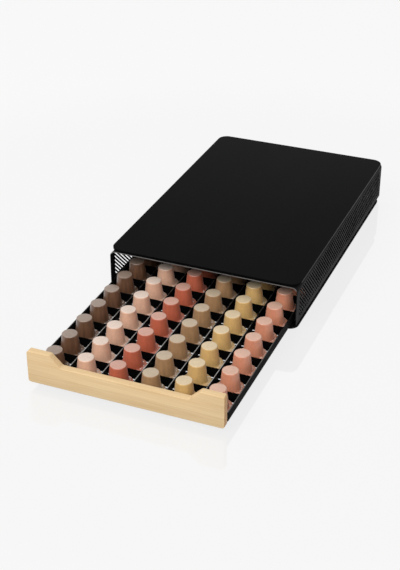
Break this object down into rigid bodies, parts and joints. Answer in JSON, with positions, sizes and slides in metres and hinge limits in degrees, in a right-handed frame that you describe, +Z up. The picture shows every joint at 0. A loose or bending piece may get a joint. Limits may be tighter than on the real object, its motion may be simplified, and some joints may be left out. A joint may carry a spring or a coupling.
{
  "type": "coffee pod drawer",
  "caption": "Low slotted-steel case with a black glass top and a bamboo-fronted drawer of upside-down coffee pods in colour columns, half open.",
  "frame": {"origin": "centre of the bounding box's bottom face, on the table under the middle of the half-open object", "axes": "+X to the right seen from the drawer's front, +Y from the drawer's front to the case's back, +Z up"},
  "size_m": [0.276, 0.678, 0.07],
  "materials": {
    "black_steel": "satin",
    "black_glass": "polished",
    "bamboo": "satin",
    "rubber": "matte",
    "tape": "matte",
    "runner_aluminium": "satin",
    "glide_plastic": "matte",
    "screw_steel": "satin",
    "pod_brown": "gloss",
    "pod_pink": "gloss",
    "pod_red": "gloss",
    "pod_olive": "gloss",
    "pod_yellow": "gloss",
    "pod_salmon": "gloss"
  },
  "bodies": {
    "case": {"slotted_shell": "black_steel", "base_plate": "black_steel", "back_panel": "black_steel", "back_panel_screws": "screw_steel", "case_screws": "screw_steel", "closing_bumpers": "rubber", "feet": "rubber", "left_runner": "runner_aluminium", "right_runner": "runner_aluminium", "left_runner_stop": "glide_plastic", "right_runner_stop": "glide_plastic", "left_front_pad": "glide_plastic", "right_front_pad": "glide_plastic", "glass_top": "black_glass", "glass_tape": "tape"},
    "drawer": {"drawer_tray": "black_steel", "column_divider_1": "black_steel", "column_divider_2": "black_steel", "column_divider_3": "black_steel", "column_divider_4": "black_steel", "column_divider_5": "black_steel", "row_divider_1": "black_steel", "row_divider_2": "black_steel", "row_divider_3": "black_steel", "row_divider_4": "black_steel", "row_divider_5": "black_steel", "row_divider_6": "black_steel", "row_divider_7": "black_steel", "row_divider_8": "black_steel", "row_divider_9": "black_steel", "bamboo_front": "bamboo", "front_screws": "screw_steel", "left_rear_glide": "glide_plastic", "right_rear_glide": "glide_plastic", "glide_rivets": "screw_steel", "brown_pods": "pod_brown", "pink_pods": "pod_pink", "red_pods": "pod_red", "olive_pods": "pod_olive", "yellow_pods": "pod_yellow", "salmon_pods": "pod_salmon"}
  },
  "joints": [
    {"name": "drawer_slide", "type": "slide", "parent": "case", "child": "drawer", "axis": [0, -1, 0], "range_m": [-0.249, 0.091]}
  ]
}
